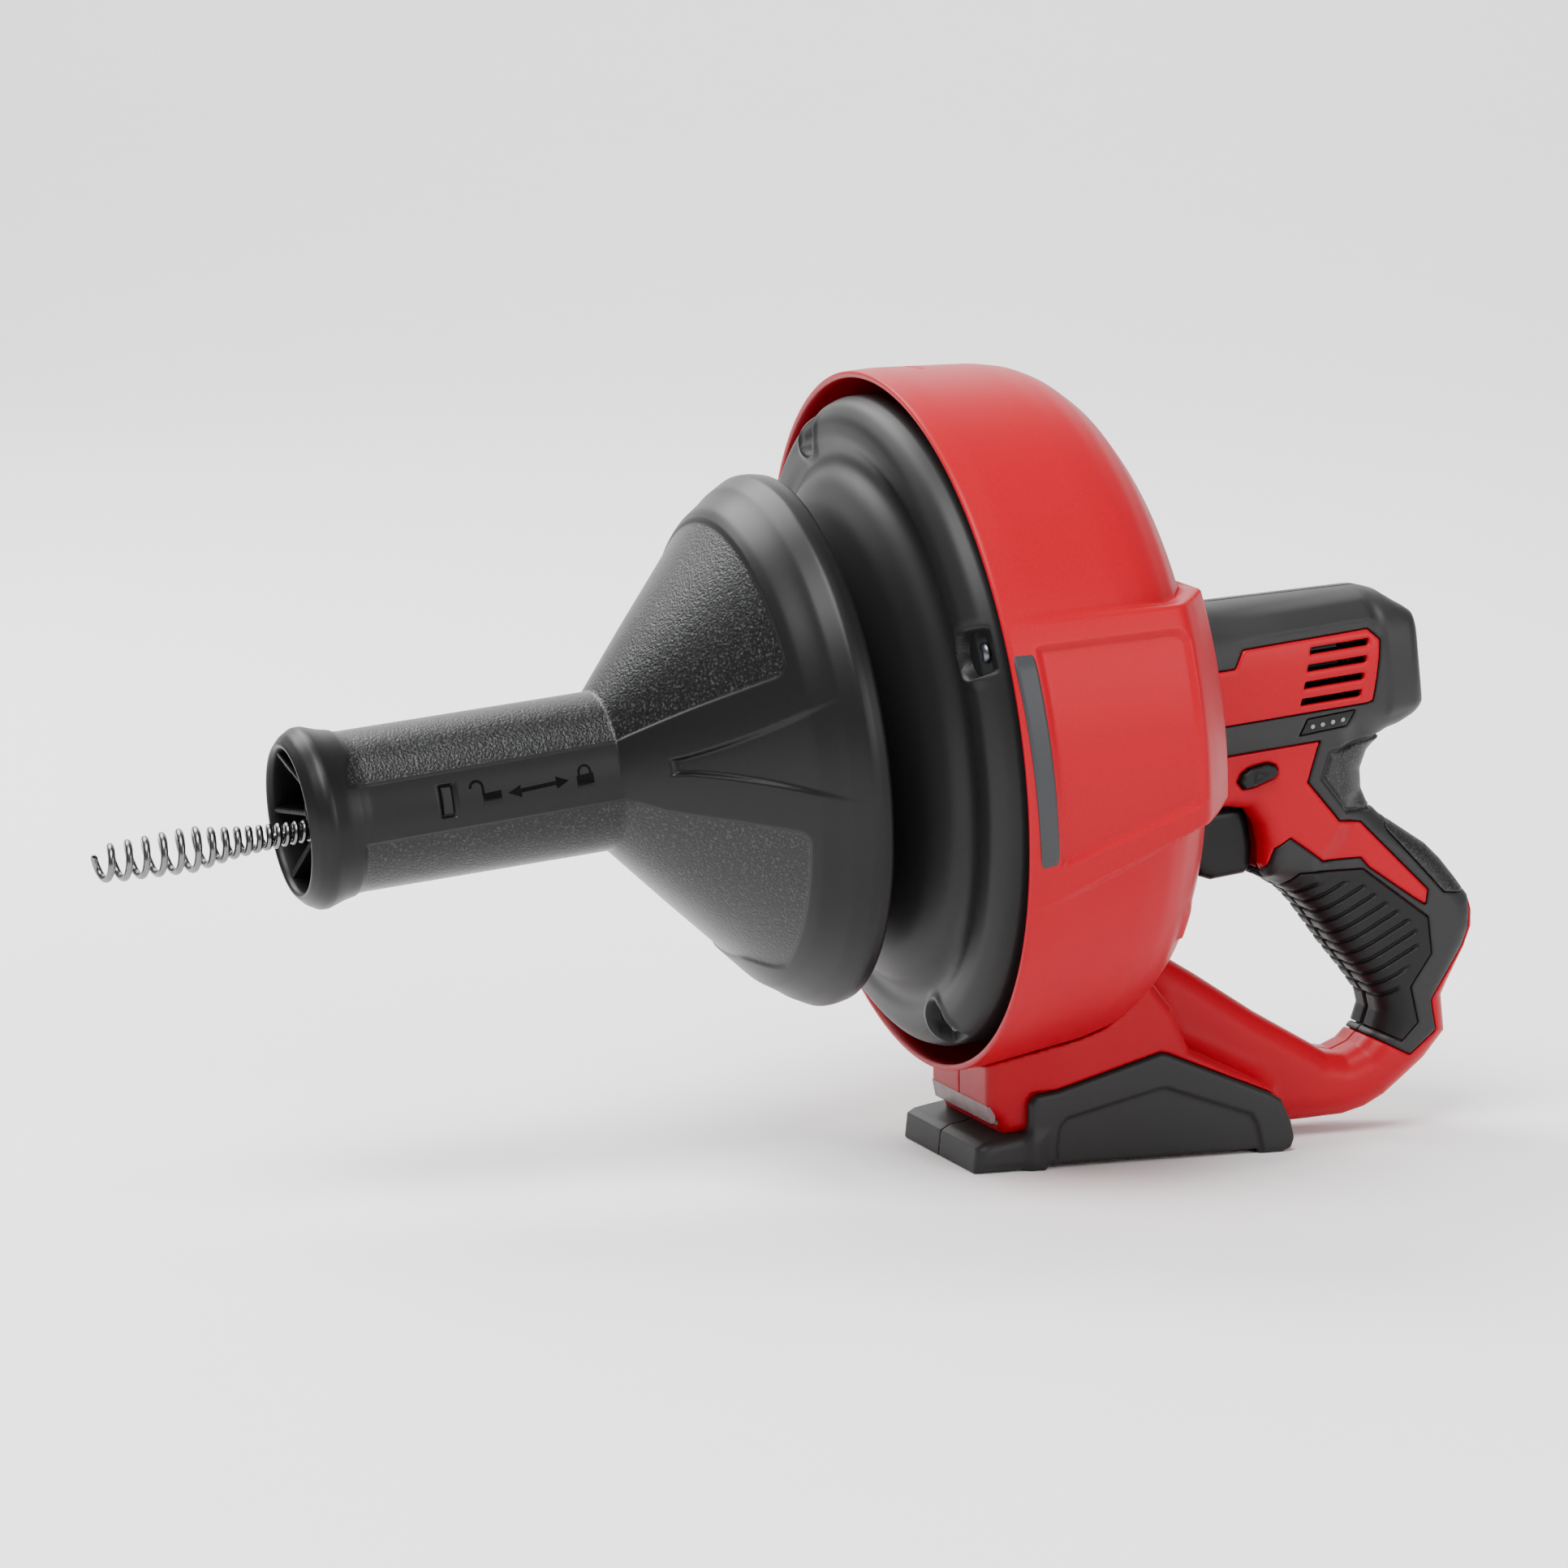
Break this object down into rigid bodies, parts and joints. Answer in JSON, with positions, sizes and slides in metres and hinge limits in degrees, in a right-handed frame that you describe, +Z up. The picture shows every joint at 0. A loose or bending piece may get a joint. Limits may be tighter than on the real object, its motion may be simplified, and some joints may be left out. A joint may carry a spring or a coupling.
{
  "type": "handheld drum drain cleaning machine",
  "caption": "Handheld battery drain cleaner: a cable drum in a round shroud, a sliding funnel grip in front and a D-shaped trigger handle behind.",
  "frame": {"origin": "centre of the whole machine's outline seen from above, at the height of the foot bumpers' soles", "axes": "+Z up, +Y from the cable tip towards the handle, +X to the machine's left as its user holds it, the side with the battery gauge"},
  "size_m": [0.2558, 0.5215, 0.2878],
  "materials": {
    "red_plastic": "satin, fine grain",
    "grey_rubber": "matt",
    "black_plastic": "fine grain",
    "black_rubber": "soft, ribbed or finely grained",
    "bright_steel": "drawn wire",
    "dark_steel": "phosphated",
    "circuit_board": "solder mask",
    "clear_lens": "clear, smooth",
    "sintered_bronze": "sintered"
  },
  "bodies": {
    "housing": {"drum_shroud": "red_plastic", "left_housing": "red_plastic", "right_housing": "red_plastic", "left_side_bumper": "grey_rubber", "right_side_bumper": "grey_rubber", "left_handle_skin": "black_plastic", "right_handle_skin": "black_plastic", "left_grip_panel": "black_rubber", "right_grip_panel": "black_rubber", "left_palm_pad": "black_rubber", "right_palm_pad": "black_rubber", "left_foot": "black_rubber", "right_foot": "black_rubber", "drum_bearing": "bright_steel", "gear_case": "dark_steel", "ring_gear": "dark_steel", "motor_can": "dark_steel", "shroud_screw_1": "dark_steel", "shroud_screw_2": "dark_steel", "shroud_screw_3": "dark_steel", "trigger_switch": "black_plastic", "control_board": "circuit_board", "battery_pack": "black_plastic", "battery_contacts": "bright_steel", "work_light_lens": "clear_lens", "light_board": "circuit_board", "battery_gauge": "grey_rubber", "housing_screw_1": "dark_steel", "housing_screw_2": "dark_steel", "housing_screw_3": "dark_steel", "housing_screw_4": "dark_steel"},
    "drum": {"front_drum_cover": "black_plastic", "rear_drum_shell": "black_plastic", "drum_screw_1": "dark_steel", "drum_screw_2": "dark_steel", "drum_screw_3": "dark_steel", "drum_screw_4": "dark_steel", "nose_tube": "dark_steel", "cable_guide": "bright_steel", "cable_coil": "bright_steel", "drive_shaft": "dark_steel", "planet_carrier": "dark_steel"},
    "motor": {"motor_rotor": "dark_steel", "motor_pinion": "bright_steel", "cooling_fan": "black_plastic"},
    "planet_1": {"planet_gear_1": "bright_steel"},
    "planet_2": {"planet_gear_2": "bright_steel"},
    "planet_3": {"planet_gear_3": "bright_steel"},
    "grip": {"funnel_grip": "black_plastic", "grip_front_bush": "sintered_bronze", "grip_rear_bush": "sintered_bronze", "lock_window": "grey_rubber"},
    "jaw_1": {"chuck_jaw_1": "dark_steel"},
    "jaw_2": {"chuck_jaw_2": "dark_steel"},
    "jaw_3": {"chuck_jaw_3": "dark_steel"},
    "cable": {"straight_cable": "bright_steel", "auger_head": "bright_steel"},
    "trigger": {"trigger": "black_plastic"},
    "selector": {"direction_selector": "black_rubber"}
  },
  "joints": [
    {"name": "drum_spin", "type": "hinge", "parent": "housing", "child": "drum", "pos_m": [0, 0.07504, 0.16438], "axis": [0, 0.9945, 0.1045], "continuous": true},
    {"name": "motor_spin", "type": "hinge", "parent": "housing", "child": "motor", "pos_m": [0, 0.17449, 0.17483], "axis": [0, 0.9945, 0.1045], "continuous": true},
    {"name": "planet_1_spin", "type": "hinge", "parent": "drum", "child": "planet_1", "pos_m": [0.0105, 0.1377, 0.17097], "axis": [0, 0.9945, 0.1045], "continuous": true},
    {"name": "planet_2_spin", "type": "hinge", "parent": "drum", "child": "planet_2", "pos_m": [-0.00525, 0.13675, 0.18001], "axis": [0, 0.9945, 0.1045], "continuous": true},
    {"name": "planet_3_spin", "type": "hinge", "parent": "drum", "child": "planet_3", "pos_m": [-0.00525, 0.13865, 0.16192], "axis": [0, 0.9945, 0.1045], "continuous": true},
    {"name": "grip_slide", "type": "slide", "parent": "housing", "child": "grip", "axis": [0, 0.9945, 0.1045], "range_m": [0, 0.022]},
    {"name": "jaw_1_close", "type": "slide", "parent": "drum", "child": "jaw_1", "axis": [0, 0.1045, -0.9945], "range_m": [0, 0.001]},
    {"name": "jaw_2_close", "type": "slide", "parent": "drum", "child": "jaw_2", "axis": [-0.866, -0.0523, 0.4973], "range_m": [0, 0.001]},
    {"name": "jaw_3_close", "type": "slide", "parent": "drum", "child": "jaw_3", "axis": [0.866, -0.0523, 0.4973], "range_m": [0, 0.001]},
    {"name": "cable_feed", "type": "slide", "parent": "drum", "child": "cable", "axis": [0, -0.9945, -0.1045], "range_m": [0, 0.08]},
    {"name": "trigger_pull", "type": "slide", "parent": "housing", "child": "trigger", "axis": [0, 0.9945, 0.1045], "range_m": [0, 0.007], "stiffness_N_per_m": 800, "springref_m": -0.004},
    {"name": "selector_shift", "type": "slide", "parent": "housing", "child": "selector", "axis": [1, 0, 0], "range_m": [-0.0025, 0.0025]}
  ],
  "couplings": [
    {"joint": "motor_spin", "follows": "drum_spin", "ratio": 3.5},
    {"joint": "planet_1_spin", "follows": "drum_spin", "ratio": -3.3333},
    {"joint": "planet_2_spin", "follows": "drum_spin", "ratio": -3.3333},
    {"joint": "planet_3_spin", "follows": "drum_spin", "ratio": -3.3333},
    {"joint": "jaw_1_close", "follows": "grip_slide", "ratio": 0.045},
    {"joint": "jaw_2_close", "follows": "grip_slide", "ratio": 0.045},
    {"joint": "jaw_3_close", "follows": "grip_slide", "ratio": 0.045}
  ]
}
